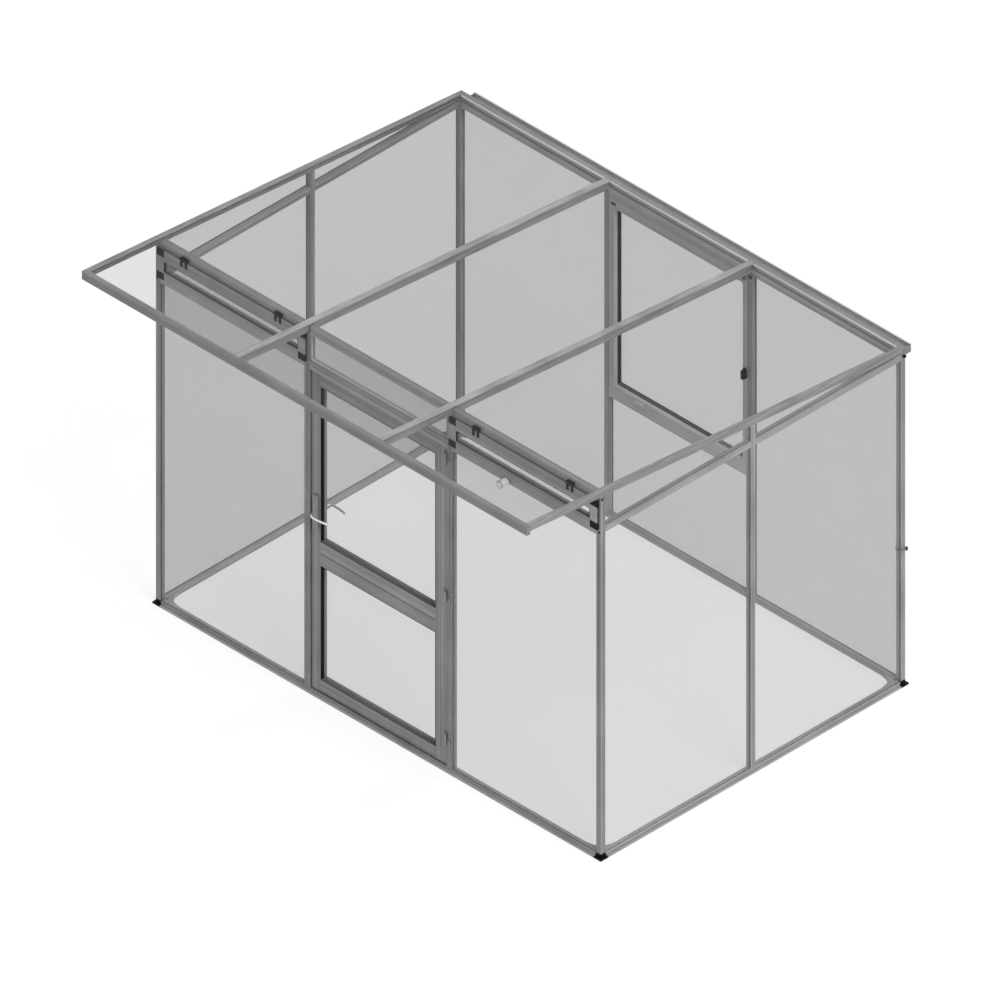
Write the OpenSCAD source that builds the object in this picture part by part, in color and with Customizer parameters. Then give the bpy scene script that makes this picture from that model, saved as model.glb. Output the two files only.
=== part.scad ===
// Glass greenhouse with a single-pitch roof: extruded metal bars with glazing grooves, panes seated in
// them, a hinged door, two top vents, a back window and a gutter along the low edge of the roof.
// X runs along the front, Y to the back, Z up. The origin is on the ground under the middle of the box.

/* [Overall] */
// Width over the sills, left to right
base_w = 2970; // [2500:10:3600]
// Depth over the sills, front to back
base_d = 2040; // [1700:10:2600]
// Height of the roof's top edge at the front
front_h = 2150; // [1900:5:2400]
// Height of the roof's top edge at the back
back_h = 1930; // [1700:5:2200]
// Reach of the roof past the front sill
overhang = 478; // [200:1:700]
// Distance from the back sill line in to the roof's back edge
eaves_inset = 5; // [0:1:10]

/* [Sills and feet] */
// Height of the sill bars
sill_h = 26; // [22:1:40]
// Reach of the sill lip past the wall face
lip = 12; // [8:1:18]
// Height of the sill lip
lip_h = 9; // [5:1:14]
// Height of a corner foot
foot_h = 30; // [26:1:44]
// Side of a corner foot on the ground
foot_w = 51; // [49:1:70]

/* [Bars] */
// Width of the posts along the wall
post_w = 30; // [26:1:40]
// Depth of posts and rails through the wall
post_d = 30; // [28:1:36]
// Extra width of the two door posts on the side of the door
door_stop = 8; // [5:1:15]
// Distance between the middle roof bars and between the back posts, middle to middle
door_bay = 950; // [850:5:1100]
// Height of the rail over the door
transom_h = 48; // [38:1:56]
// Height of the opening between that rail and the rail under the roof
vent_bay_h = 150; // [130:1:200]
// Height of the rail under the roof at the front
top_rail_h = 46; // [40:1:56]
// Height of the level rail along each side
side_rail_h = 36; // [28:1:44]
// Height of the rail under the roof at the back
back_rail_h = 36; // [28:1:44]
// Underside of the rail below the back window
window_rail_z = 700; // [500:10:900]
// Height of the rail below the back window
window_rail_h = 50; // [36:1:60]
// Width and depth of the fine grooves along the bars
reed = 1.5; // [1:0.5:2]

/* [Roof] */
// Width of the cap of a middle roof bar
cap_w = 36; // [34:1:44]
// Width of a roof bar below its cap
rafter_w = 30; // [28:1:33]
// Height of a middle roof bar
rafter_h = 46; // [38:1:56]
// Height of the roof bars along the two sides
end_rafter_h = 30; // [26:1:36]
// Thickness of the caps over the roof panes
cap_t = 6; // [4:1:8]
// Thickness front to back of the bar along the roof's front edge
fascia_d = 27; // [24:1:36]
// Height of the bar along the roof's front edge
fascia_h = 48; // [40:1:60]
// Height of the bar along the roof's back edge
eaves_h = 30; // [26:1:33]

/* [Gutter] */
// Reach of the gutter past the back sill line
gutter_out = 54; // [40:1:90]
// Distance from the roof's top edge at the back down to the gutter's rim
gutter_below = 24; // [18:1:30]
// Depth of the gutter below its rim
gutter_deep = 46; // [35:1:60]
// Thickness of the gutter's sheet
gutter_t = 2; // [1.5:0.5:3]
// Distance from the wall's end in to the gutter's end
gutter_short = 28; // [10:1:80]
// Width of the fold along the gutter's rim
gutter_fold = 8; // [5:1:12]
// Distance from the roof's underside down to the gutter's wall edge
gutter_drop = 2; // [1:0.5:5]

/* [Glazing] */
// Thickness of the panes
glass_t = 4; // [3:0.5:6]
// Depth of the glazing grooves
groove_d = 8; // [6:1:8]
// Distance from a wall's outer face in to its panes
glass_set = 4; // [3:0.5:8]
// Distance from the wall's outer face in to the pane over the door
over_set = 20; // [14:1:21]
// Thickness of the rubber lining round a pane
gasket_t = 3; // [2:0.5:4]
// Side play of a pane in its groove, and of one bar against the next
fit = 0.3; // [0.2:0.1:0.4]
// Room past a pane's edge in its groove
edge_room = 2; // [1:0.5:3]

/* [Vents and back window] */
// Width of a vent's side bars
vent_stile_w = 48; // [40:1:60]
// Height of a vent's bottom bar
vent_foot_h = 47; // [40:1:52]
// Height of a vent's top bar
vent_head_h = 63; // [45:1:66]
// Depth of a vent from its outer to its inner face
vent_d = 30; // [26:1:36]
// Distance from the wall face out to a vent's outer face
vent_out = 10; // [8:1:14]
// Distance from a vent's outer face in to its pane
vent_set = 10; // [8:1:14]
// Thickness of the flange round a vent
flange_t = 3; // [2:0.5:4]
// Lap of the flange on the posts and on the rail below
vent_lap = 15; // [10:1:18]
// Lap of the flange on the rail above
vent_top_lap = 5; // [3:1:8]
// Height of a vent's black corner pieces
vent_corner_h = 40; // [30:1:44]
// Play round a closed vent or window
sash_gap = 2; // [1:0.5:4]
// Distance from a vent's end in to the middle of its hinge
vent_hinge_in = 180; // [100:5:250]
// Width of a vent hinge
vent_hinge_w = 44; // [30:1:60]
// Height of a vent hinge's block on the rail
vent_block_h = 20; // [14:1:26]
// Length of the two tabs of a vent hinge on the flange
vent_tab_h = 30; // [20:1:40]
// Width of such a tab
vent_tab_w = 14; // [8:1:18]
// Distance from the wall face out to the back window's outer face
window_out = 18; // [14:1:24]
// Distance from the back window's outer face in to its pane
window_set = 4; // [3:0.5:6]
// Depth of the rubber lining inside the back window's pane
window_lining = 13; // [8:1:20]
// Width of the back window's side bars
window_side_w = 31; // [28:1:60]
// Height of the back window's bottom bar
window_foot_h = 22; // [18:1:60]
// Height of the back window's top bar
window_head_h = 70; // [50:1:90]
// Width of the window knob's rose
rose_w = 24; // [20:1:26]
// Height of the window knob's rose
rose_h = 62; // [48:1:80]
// Thickness of the window knob's rose
rose_t = 6; // [4:1:8]
// Diameter of the window knob's neck
knob_neck_d = 14; // [10:1:16]
// Reach of the window knob from the bar
knob_out = 22; // [20:1:28]
// Length of the window knob's turning grip
knob_len = 54; // [40:1:70]
// Width of the window knob's turning grip
knob_w = 18; // [17:1:22]
// Thickness of the window knob's turning grip
knob_t = 9; // [8:1:11]

/* [Door] */
// Play round the closed door
door_gap = 5; // [5:0.5:8]
// Depth of the door from its outer to its inner face
door_d = 42; // [36:1:50]
// Distance from the posts' face in to the door's face
door_in = 7; // [4:1:10]
// Distance from the door's outer face in to its panes
door_set = 20; // [14:1:24]
// Width of the door's upright bar at the lock
lock_stile_w = 56; // [50:1:80]
// Width of the door's upright bar at the hinges
hinge_stile_w = 75; // [56:1:90]
// Height of the door's top bar
door_head_h = 70; // [50:1:80]
// Height of the door's bottom bar
door_foot_h = 67; // [50:1:90]
// Underside of the door's middle bar
door_mid_z = 752; // [600:1:800]
// Height of the door's middle bar
door_mid_h = 137; // [100:1:200]
// Width and depth of the seam in the door's middle bar
seam = 3; // [1:0.5:5]

/* [Hinges and handle] */
// Diameter of the hinge barrels
barrel_d = 14; // [12:0.5:16]
// Diameter of the hinge pins
pin_d = 8; // [6:0.5:9]
// Height of one half of a hinge
leaf_h = 32; // [24:1:50]
// Height of the lowest hinge above the door's lower edge
hinge_low = 152; // [80:1:300]
// Height of the middle hinge above the ground
hinge_mid_z = 1000; // [900:5:1100]
// Distance from the door's upper edge down to the top hinge
hinge_high = 57; // [50:1:200]
// Width of a hinge plate from the pin
leaf_w = 27; // [20:1:30]
// Thickness of a hinge plate
leaf_t = 3; // [2:0.5:4]
// Distance from the hinge pin's middle to the wall face
hinge_out = 8; // [8:0.5:12]
// Height of the lever's spindle
handle_z = 1050; // [1000:5:1150]
// Distance from the door's free edge in to the spindle
handle_in = 28; // [24:1:30]
// Height of the handle plates
plate_h = 192; // [150:1:240]
// Width of the handle plates
plate_w = 34; // [28:1:40]
// Thickness of the handle plates
plate_t = 8; // [5:0.5:10]
// Diameter of the lever's spindle
spindle_d = 8; // [7:0.5:9]
// Diameter of the lever's grip
grip_d = 12; // [11:0.5:16]
// Extra diameter of the ball at the lever's tip
tip_more = 1; // [0.5:0.5:4]
// Radius of the lever's bend
bend_r = 28; // [20:1:32]
// Length of the lever from its spindle
lever_len = 107; // [90:1:140]
// Reach of the lever from its plate to its middle line
lever_out = 40; // [35:1:55]
// Angle through which the grip curves back to the door
grip_sweep = 12; // [6:1:20]

/* [Hidden] */
$fn = 48;
// Radial running play of pins in their bores
run_fit = 0.05;
// Play of surface fittings against the bar that they are screwed to
play = 0.1;
// Main lines in plan
box_d = overhang + base_d + gutter_out;
front_y = overhang - box_d / 2;
back_y = front_y + base_d;
mid_y = (front_y + back_y) / 2;
wall_x = base_w / 2 - lip;
bay_x = door_bay / 2;
sill_d = lip + post_d;
corner_in = lip + post_w;
// Glazing grooves
groove_w = glass_t + 2 * fit;
bite = groove_d - edge_room;
pane_y = lip + glass_set + fit;
over_pane_y = lip + over_set + fit;
// Roof plane
roof_front_y = front_y - overhang;
roof_back_y = back_y - eaves_inset;
roof_run = roof_back_y - roof_front_y;
pitch = atan((front_h - back_h) / roof_run);
roof_len = roof_run / cos(pitch);
glass_drop = cap_t + groove_w;
function roof_z(y, drop = 0) = front_h - (y - roof_front_y) * tan(pitch) - drop / cos(pitch);
// Levels of the rails, hung from the roof plane
top_rail_top = roof_z(front_y + lip, glass_drop);
top_rail_z = top_rail_top - top_rail_h;
side_rail_top = min(roof_z(front_y + corner_in, end_rafter_h + fit),
    roof_z(back_y - corner_in, end_rafter_h + fit));
side_rail_z = side_rail_top - side_rail_h;
back_rail_top = roof_z(back_y - lip, eaves_h + fit);
back_rail_z = back_rail_top - back_rail_h;
transom_z = top_rail_z - vent_bay_h - transom_h;
transom_top = top_rail_z - vent_bay_h;
// Bays between the posts of the front and back walls
window_bay_x = bay_x - post_w / 2;
door_bay_x = window_bay_x - door_stop;
side_bay_x0 = bay_x + post_w / 2;
side_bay_x1 = wall_x - post_w;
// Vents: the frame in its opening, the flange over the edges of the opening, and the hole for the pane
vent_body = [side_bay_x0 + sash_gap, side_bay_x1 - sash_gap,
    transom_top + sash_gap, top_rail_z - sash_gap];
vent_edge = [side_bay_x0 - vent_lap, side_bay_x1 + vent_lap,
    transom_top - vent_lap, top_rail_z + vent_top_lap];
vent_hole = [vent_edge[0] + vent_stile_w, vent_edge[1] - vent_stile_w,
    vent_edge[2] + vent_foot_h, vent_edge[3] - vent_head_h];
vent_y = lip - vent_out;
vent_pane_y = vent_y + vent_set + fit;
// Gutter section
gutter_y0 = -lip;
gutter_rim_z = back_h - gutter_below;
gutter_floor_z = gutter_rim_z - gutter_deep;
gutter_wall_h = back_rail_top - gutter_floor_z - gutter_drop;
gutter_x = wall_x - gutter_short;
// Back window: the frame in its opening, its outer part below the gutter, and the hole for the pane
window_body = [sash_gap - window_bay_x, window_bay_x - sash_gap,
    window_rail_z + window_rail_h + sash_gap / 4, back_rail_z - sash_gap / 4];
window_face = [window_body[0], window_body[1], window_body[2],
    min(window_body[3], gutter_floor_z - sash_gap)];
window_hole = [window_body[0] + window_side_w, window_body[1] - window_side_w,
    window_body[2] + window_foot_h, window_body[3] - window_head_h];
window_y = lip - window_out;
window_pane_y = window_y + window_set + fit;
// Door leaf: the lock side keeps the same play when the inner corner swings past its post
door_y = lip + door_in;
door_pane_y = door_y + door_set + fit;
door_x1 = door_bay_x - door_gap;
hinge_x = door_x1 + door_gap / 2;
hinge_y = lip - hinge_out;
swing_d = hinge_out + door_in + door_d;
swing_r = hinge_x + door_bay_x - door_gap;
door_x0 = hinge_x - sqrt(swing_r * swing_r - swing_d * swing_d);
door_z0 = sill_h + door_gap;
door_z1 = transom_z - door_gap;
door_hole_x0 = door_x0 + lock_stile_w;
door_hole_x1 = door_x1 - hinge_stile_w;
door_hole_zs = [[door_z0 + door_foot_h, door_mid_z], [door_mid_z + door_mid_h, door_z1 - door_head_h]];
hinge_zs = [door_z0 + hinge_low, hinge_mid_z, door_z1 - hinge_high];
handle_x = door_x0 + handle_in;
big = 4 * (base_w + base_d);

// Places: y runs inwards from the outer sill line of each wall
module at_front() translate([0, front_y, 0]) children();
module at_back() translate([0, back_y, 0]) mirror([0, 1, 0]) children();
module at_right() translate([base_w / 2, 0, 0]) rotate(90) children();
module on_left() mirror([1, 0, 0]) children();
module on_both_sides() {
    children();
    on_left() children();
}
// The roof's own frame: y down the slope from the front edge, z up from the top faces
module on_roof() translate([0, roof_front_y, front_h]) rotate([-pitch, 0, 0]) children();
module under_roof(drop) {
    difference() {
        children();
        on_roof() translate([-big / 2, -big / 2, -drop]) cube(big);
    }
}
// Lays a section drawn in y and z along x
module along_x(x0, x1) translate([x0, 0, 0]) rotate([90, 0, 90]) linear_extrude(x1 - x0) children();
module metal() color("#8f9193") children();
module steel() color("#b4b6b8") children();
module glass() color("#b9c0c2", 0.45) children();
module rubber() color("#222325") children();

// Section of a bar through the wall: glazing grooves at the given depths in its lower and upper faces,
// where 0 leaves that face plain, and fine grooves along the outer face
module rail_section(h, low, high, reeds) {
    difference() {
        translate([lip, 0]) square([post_d, h]);
        if (low > 0) translate([lip + low, -1]) square([groove_w, groove_d + 1]);
        if (high > 0) translate([lip + high, h - groove_d]) square([groove_w, groove_d + 1]);
        for (i = [1:reeds]) translate([lip - reed, (h * i - reed) / (reeds + 1)]) square([2 * reed, reed]);
    }
}
module rail(x0, x1, z, h, low = glass_set, high = glass_set, reeds = 1) {
    translate([0, 0, z]) along_x(x0 + fit, x1 - fit) rail_section(h, low, high, reeds);
}
// Section of a sill: a flat lip outside, a glazing groove in the top
module sill_section() {
    difference() {
        union() {
            square([sill_d, lip_h]);
            translate([lip, 0]) square([post_d, sill_h]);
        }
        translate([lip + glass_set, sill_h - groove_d]) square([groove_w, groove_d + 1]);
    }
}
// A sill between two corner feet, its ends sloped to the feet
module sill(x0, x1) {
    intersection() {
        along_x(x0, x1) sill_section();
        translate([0, big / 2, 0]) rotate([90, 0, 0]) linear_extrude(big)
            polygon([[x0 + foot_w + fit, 0], [x1 - foot_w - fit, 0],
                [x1 - corner_in - fit, foot_h], [x0 + corner_in + fit, foot_h]]);
    }
}
// A foot for the front right corner: a lip outside, tapered to the sills inside, slotted for the panes
module foot_section() {
    polygon([[0, 0], [foot_w, 0], [corner_in, foot_h], [lip, foot_h], [lip, lip_h], [0, lip_h]]);
}
module foot() {
    translate([base_w / 2, 0, 0]) mirror([1, 0, 0]) difference() {
        intersection() {
            along_x(0, foot_w) foot_section();
            mirror([1, -1, 0]) along_x(0, foot_w) foot_section();
        }
        for (m = [0, 1]) mirror([m, -m, 0])
            translate([corner_in - groove_d, lip + glass_set, sill_h - groove_d])
                cube([foot_w, groove_w, foot_h]);
    }
}
// Upright bar between two bays of one wall, grooved at the given depths to its left and right
module mid_post(x0, x1, z1, left = glass_set, right = glass_set) {
    translate([0, 0, sill_h]) linear_extrude(z1 - sill_h) difference() {
        translate([x0, lip]) square([x1 - x0, post_d]);
        translate([x0 - 1, lip + left]) square([groove_d + 1, groove_w]);
        translate([x1 - groove_d, lip + right]) square([groove_d + 1, groove_w]);
        translate([(x0 + x1 - reed) / 2, lip - reed]) square([reed, 2 * reed]);
    }
}
// Upright bar at a right-hand corner, grooved towards both walls
module corner_post() {
    translate([0, 0, foot_h]) linear_extrude(max(front_h, back_h)) difference() {
        translate([wall_x - post_w, lip]) square([post_w, post_d]);
        translate([wall_x - post_w - 1, lip + glass_set]) square([groove_d + 1, groove_w]);
        translate([wall_x - glass_set - groove_w, lip + post_d - groove_d]) square([groove_w, groove_d + 1]);
        translate([wall_x - (post_w + reed) / 2, lip - reed]) square([reed, 2 * reed]);
        translate([wall_x - reed, lip + (post_d - reed) / 2]) square([2 * reed, reed]);
    }
}
// A pane in a wall opening, reaching into the grooves round it
module pane(x0, x1, z0, z1, y = pane_y) {
    translate([x0 - bite, y, z0 - bite]) cube([x1 - x0 + 2 * bite, glass_t, z1 - z0 + 2 * bite]);
}
// A box from the four edges of an area on the wall, grown by a margin, and from two depths
module slab(area, y0, y1, grow = 0) {
    translate([area[0] - grow, y0, area[2] - grow])
        cube([area[1] - area[0] + 2 * grow, y1 - y0, area[3] - area[2] + 2 * grow]);
}
// Rubber lining round an opening
module lining(area, y0, y1) {
    difference() {
        slab(area, y0, y1, -fit);
        slab(area, y0 - 1, y1 + 1, -fit - gasket_t);
    }
}

module front_sill() metal() at_front() sill(-base_w / 2, base_w / 2);
module back_sill() metal() at_back() sill(-base_w / 2, base_w / 2);
module right_sill() metal() at_right() sill(front_y, back_y);
module left_sill() on_left() right_sill();
module corner_feet() {
    rubber() on_both_sides() {
        at_front() foot();
        at_back() foot();
    }
}

module front_right_post() metal() under_roof(end_rafter_h + fit) at_front() corner_post();
module front_left_post() on_left() front_right_post();
module back_right_post() metal() under_roof(end_rafter_h + fit) at_back() corner_post();
module back_left_post() on_left() back_right_post();
module door_right_post() {
    metal() under_roof(rafter_h + fit) at_front()
        mid_post(door_bay_x, side_bay_x0, max(front_h, back_h), over_set, glass_set);
}
module door_left_post() on_left() door_right_post();
module back_mid_posts() {
    metal() on_both_sides() under_roof(rafter_h + fit) at_back()
        mid_post(window_bay_x, side_bay_x0, max(front_h, back_h));
}
module side_mid_posts() {
    metal() on_both_sides() under_roof(end_rafter_h + fit) at_right()
        mid_post(mid_y - post_w / 2, mid_y + post_w / 2, max(front_h, back_h));
}

// One bar in the bay at each end of the front or back wall
module end_bay_rails(z, h, low, high, reeds = 1) {
    rail(side_bay_x0, side_bay_x1, z, h, low, high, reeds);
    rail(-side_bay_x1, -side_bay_x0, z, h, low, high, reeds);
}
module front_transom() {
    metal() at_front() {
        rail(-door_bay_x, door_bay_x, transom_z, transom_h, 0, over_set);
        end_bay_rails(transom_z, transom_h, glass_set, 0);
    }
}
module front_top_rail() {
    metal() under_roof(glass_drop + fit) at_front() {
        rail(-door_bay_x, door_bay_x, top_rail_z, 2 * top_rail_h, over_set, 0, 5);
        end_bay_rails(top_rail_z, 2 * top_rail_h, 0, 0, 5);
    }
}
module side_rails() {
    metal() on_both_sides() at_right() {
        rail(front_y + corner_in, mid_y - post_w / 2, side_rail_z, side_rail_h);
        rail(mid_y + post_w / 2, back_y - corner_in, side_rail_z, side_rail_h);
    }
}
module back_top_rail() {
    metal() under_roof(eaves_h + fit) at_back() {
        rail(-window_bay_x, window_bay_x, back_rail_z, back_rail_h, 0, 0);
        end_bay_rails(back_rail_z, back_rail_h, glass_set, 0);
    }
}
module back_window_rail() {
    metal() at_back() rail(-window_bay_x, window_bay_x, window_rail_z, window_rail_h, glass_set, 0);
}

// Roof bar sections, drawn across the slope with the top face at 0
module mid_rafter_section() {
    neck = rafter_w - 2 * groove_d;
    translate([-cap_w / 2, -cap_t]) square([cap_w, cap_t]);
    translate([-neck / 2, -glass_drop]) square([neck, glass_drop]);
    translate([-rafter_w / 2, -rafter_h]) square([rafter_w, rafter_h - glass_drop]);
}
// Right-hand edge bar: grooved for the roof pane inside and for the wall pane below
module edge_rafter_section() {
    difference() {
        translate([wall_x - rafter_w, -end_rafter_h]) square([rafter_w, end_rafter_h]);
        translate([wall_x - rafter_w - 1, -glass_drop]) square([groove_d + 1, groove_w]);
        translate([wall_x - glass_set - groove_w, -end_rafter_h - 1]) square([groove_w, groove_d + 1]);
        translate([wall_x - reed, -(end_rafter_h + reed) / 2]) square([2 * reed, reed]);
    }
}
module down_slope() {
    on_roof() translate([0, roof_len - fascia_d - fit, 0]) rotate([90, 0, 0])
        linear_extrude(roof_len - 2 * fascia_d - 2 * fit) children();
}
module mid_rafters() metal() on_both_sides() down_slope() translate([bay_x, 0]) mid_rafter_section();
module edge_rafters() metal() on_both_sides() down_slope() edge_rafter_section();
// Front edge bar with an upright face, grooved for the panes
module roof_front_bar() {
    metal() on_roof() along_x(-wall_x, wall_x) difference() {
        polygon([[0, 0], [fascia_d, 0], [fascia_d, -fascia_h], [fascia_h * tan(pitch), -fascia_h]]);
        translate([fascia_d - groove_d, -glass_drop]) square([groove_d + 1, groove_w]);
    }
}
module roof_back_bar() {
    metal() on_roof() translate([0, roof_len - fascia_d, 0]) along_x(-wall_x, wall_x) difference() {
        translate([0, -eaves_h]) square([fascia_d, eaves_h]);
        translate([-1, -glass_drop]) square([groove_d + 1, groove_w]);
    }
}
// Roof panes between the necks of the bars
module roof_pane(x0, x1) {
    y0 = fascia_d - bite;
    on_roof() translate([x0 - bite, y0, -cap_t - fit - glass_t])
        cube([x1 - x0 + 2 * bite, roof_len - 2 * y0, glass_t]);
}
module roof_glass() {
    edge = rafter_w / 2;
    glass() {
        roof_pane(-bay_x + edge, bay_x - edge);
        roof_pane(bay_x + edge, wall_x - rafter_w);
        roof_pane(-wall_x + rafter_w, -bay_x - edge);
    }
}

// Gutter: a folded trough with rolled rim and closed ends, hung on the back rail
module gutter_section() {
    deep = gutter_out - gutter_y0;
    translate([gutter_y0, gutter_floor_z]) {
        square([deep, gutter_t]);
        square([gutter_t, gutter_wall_h]);
        translate([deep - gutter_t, 0]) square([gutter_t, gutter_deep]);
        translate([deep - gutter_fold, gutter_deep - gutter_t]) square([gutter_fold, gutter_t]);
    }
}
module gutter_end(x) {
    translate([x, back_y + gutter_y0, gutter_floor_z])
        cube([gutter_t, gutter_out - gutter_y0, gutter_wall_h]);
}
module gutter() {
    metal() {
        translate([0, back_y, 0]) along_x(-gutter_x, gutter_x) gutter_section();
        gutter_end(gutter_x - gutter_t);
        gutter_end(-gutter_x);
    }
}

// Panes seated in the grooves of the walls
module front_glass() {
    glass() at_front() {
        on_both_sides() pane(side_bay_x0, side_bay_x1, sill_h, transom_z);
        pane(-door_bay_x, door_bay_x, transom_top, top_rail_z, over_pane_y);
    }
}
module back_glass() {
    glass() at_back() {
        on_both_sides() pane(side_bay_x0, side_bay_x1, sill_h, back_rail_z);
        pane(-window_bay_x, window_bay_x, sill_h, window_rail_z);
    }
}
// Tapering pane between a side rail and the roof edge
module gable_pane(y0, y1) {
    low = side_rail_top - bite;
    translate([0, pane_y + glass_t, 0]) rotate([90, 0, 0]) linear_extrude(glass_t)
        polygon([[y0, low], [y1, low], [y1, roof_z(y1, end_rafter_h - bite)],
            [y0, roof_z(y0, end_rafter_h - bite)]]);
}
module right_glass() {
    glass() at_right() {
        pane(front_y + corner_in, mid_y - post_w / 2, sill_h, side_rail_z);
        pane(mid_y + post_w / 2, back_y - corner_in, sill_h, side_rail_z);
        gable_pane(front_y + corner_in - bite, mid_y - post_w / 2 + bite);
        gable_pane(mid_y + post_w / 2 - bite, back_y - corner_in - fit);
    }
}
module left_glass() on_left() right_glass();

// Vent: a frame in its opening with a thin flange lapped over the edges, grooved for its pane
module vent_frame() {
    difference() {
        union() {
            slab(vent_edge, vent_y, vent_y + flange_t);
            slab(vent_body, vent_y, vent_y + vent_d);
        }
        slab(vent_hole, vent_y - 1, vent_y + vent_d + 1);
        slab(vent_hole, vent_pane_y - fit, vent_pane_y + glass_t + fit, groove_d);
        vent_corner_row(vent_y - 1, vent_y + flange_t, fit);
    }
}
// The four corner pieces in the face of a vent, or with some play the pockets for them
module vent_corner_row(y0, y1, grow = 0) {
    for (x = [vent_edge[0], vent_edge[1] - vent_stile_w], z = [vent_edge[2], vent_edge[3] - vent_corner_h])
        slab([x, x + vent_stile_w, z, z + vent_corner_h], y0, y1, grow);
}
module vent_frames() metal() on_both_sides() at_front() vent_frame();
module vent_corners() {
    rubber() on_both_sides() at_front() vent_corner_row(vent_y, vent_y + flange_t - fit);
}
// Hinge of a vent: a block on the rail, a barrel over the flange's edge and two tabs on the flange
module vent_hinge(x) {
    block_y = vent_y - flange_t - play;
    translate([x - vent_hinge_w / 2, block_y, vent_edge[3]]) {
        translate([0, 0, play]) cube([vent_hinge_w, lip - play - block_y, vent_block_h]);
        translate([0, flange_t, play + flange_t]) rotate([0, 90, 0]) cylinder(r = flange_t, h = vent_hinge_w);
        for (tab = [0, vent_hinge_w - vent_tab_w])
            translate([tab, 0, -vent_tab_h]) cube([vent_tab_w, flange_t, vent_tab_h + 2 * flange_t]);
    }
}
module vent_hinges() {
    rubber() on_both_sides() at_front()
        for (x = [vent_edge[0] + vent_hinge_in, vent_edge[1] - vent_hinge_in]) vent_hinge(x);
}
module vent_glass() {
    glass() on_both_sides() at_front()
        pane(vent_hole[0], vent_hole[1], vent_hole[2], vent_hole[3], vent_pane_y);
}

// Back window, closed: its frame stands out past the wall face, and the turn knob is on the inside
module window_frame() {
    metal() at_back() difference() {
        union() {
            slab(window_body, lip, lip + post_d);
            slab(window_face, window_y, lip + post_d);
        }
        slab(window_hole, window_y - 1, lip + post_d + 1);
        slab(window_hole, window_pane_y - fit, window_pane_y + glass_t + fit, groove_d);
    }
}
module window_glass() {
    glass() at_back() pane(window_hole[0], window_hole[1], window_hole[2], window_hole[3], window_pane_y);
}
module oval(w, h) {
    square([w, h - w], center = true);
    for (z = [-1, 1]) translate([0, z * (h - w) / 2]) circle(d = w);
}
module window_knob() {
    rubber() at_back() translate([window_body[1] - window_side_w / 2, sill_d + play,
        (window_hole[2] + window_hole[3]) / 2]) rotate([-90, 0, 0]) {
            linear_extrude(rose_t) oval(rose_w, rose_h);
            cylinder(d = knob_neck_d, h = knob_out);
            translate([0, 0, knob_out - knob_t]) linear_extrude(knob_t) oval(knob_w, knob_len);
        }
}

// Rubber linings of the pane over the door, the vents and the back window, and the seals under the flanges
module vent_seal() {
    difference() {
        slab(vent_edge, vent_y + flange_t + fit, lip - play, -fit);
        slab(vent_body, vent_y, lip, fit);
    }
}
module glazing_gaskets() {
    rubber() {
        at_front() {
            lining([-door_bay_x, door_bay_x, transom_top, top_rail_z], door_y, over_pane_y - fit);
            on_both_sides() {
                lining(vent_hole, vent_y + fit, vent_pane_y - fit);
                lining(vent_hole, vent_pane_y + glass_t + fit, vent_y + vent_d - fit);
                vent_seal();
            }
        }
        at_back() {
            inner_y = window_pane_y + glass_t + fit;
            lining(window_hole, window_y + fit, window_pane_y - fit);
            lining(window_hole, inner_y, inner_y + window_lining);
        }
    }
}

// Upright bar of the door with a glazing groove in the side given by its outer corner
module stile(x0, x1, groove_x) {
    translate([0, 0, door_z0]) linear_extrude(door_z1 - door_z0) difference() {
        translate([x0, door_y]) square([x1 - x0, door_d]);
        translate([groove_x, door_pane_y - fit]) square([groove_d + 1, groove_w]);
    }
}
module door_hinge_stile() metal() at_front() stile(door_hole_x1, door_x1, door_hole_x1 - 1);
module door_lock_stile() {
    metal() at_front() difference() {
        stile(door_x0, door_hole_x0, door_hole_x0 - groove_d);
        translate([handle_x, 0, handle_z]) rotate([-90, 0, 0])
            cylinder(d = 2 * spindle_d, h = door_y + 2 * door_d);
    }
}
// Cross bar of the door with glazing grooves below and above, and a seam where two bars are paired
module door_bar(z, h, low, high, paired = false) {
    translate([0, 0, z]) along_x(door_hole_x0 + fit, door_hole_x1 - fit) difference() {
        translate([door_y, 0]) square([door_d, h]);
        if (low) translate([door_pane_y - fit, -1]) square([groove_w, groove_d + 1]);
        if (high) translate([door_pane_y - fit, h - groove_d]) square([groove_w, groove_d + 1]);
        if (paired) for (y = [door_y, door_y + door_d])
            translate([y - seam, (h - seam) / 2]) square([2 * seam, seam]);
    }
}
module door_rails() {
    metal() at_front() {
        door_bar(door_z0, door_foot_h, false, true);
        door_bar(door_mid_z, door_mid_h, true, true, true);
        door_bar(door_z1 - door_head_h, door_head_h, true, false);
    }
}
module door_glass() {
    glass() at_front() for (z = door_hole_zs) pane(door_hole_x0, door_hole_x1, z[0], z[1], door_pane_y);
}
module door_gaskets() {
    rubber() at_front() for (z = door_hole_zs)
        lining([door_hole_x0, door_hole_x1, z[0], z[1]], door_y + fit, door_pane_y - fit);
}
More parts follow.
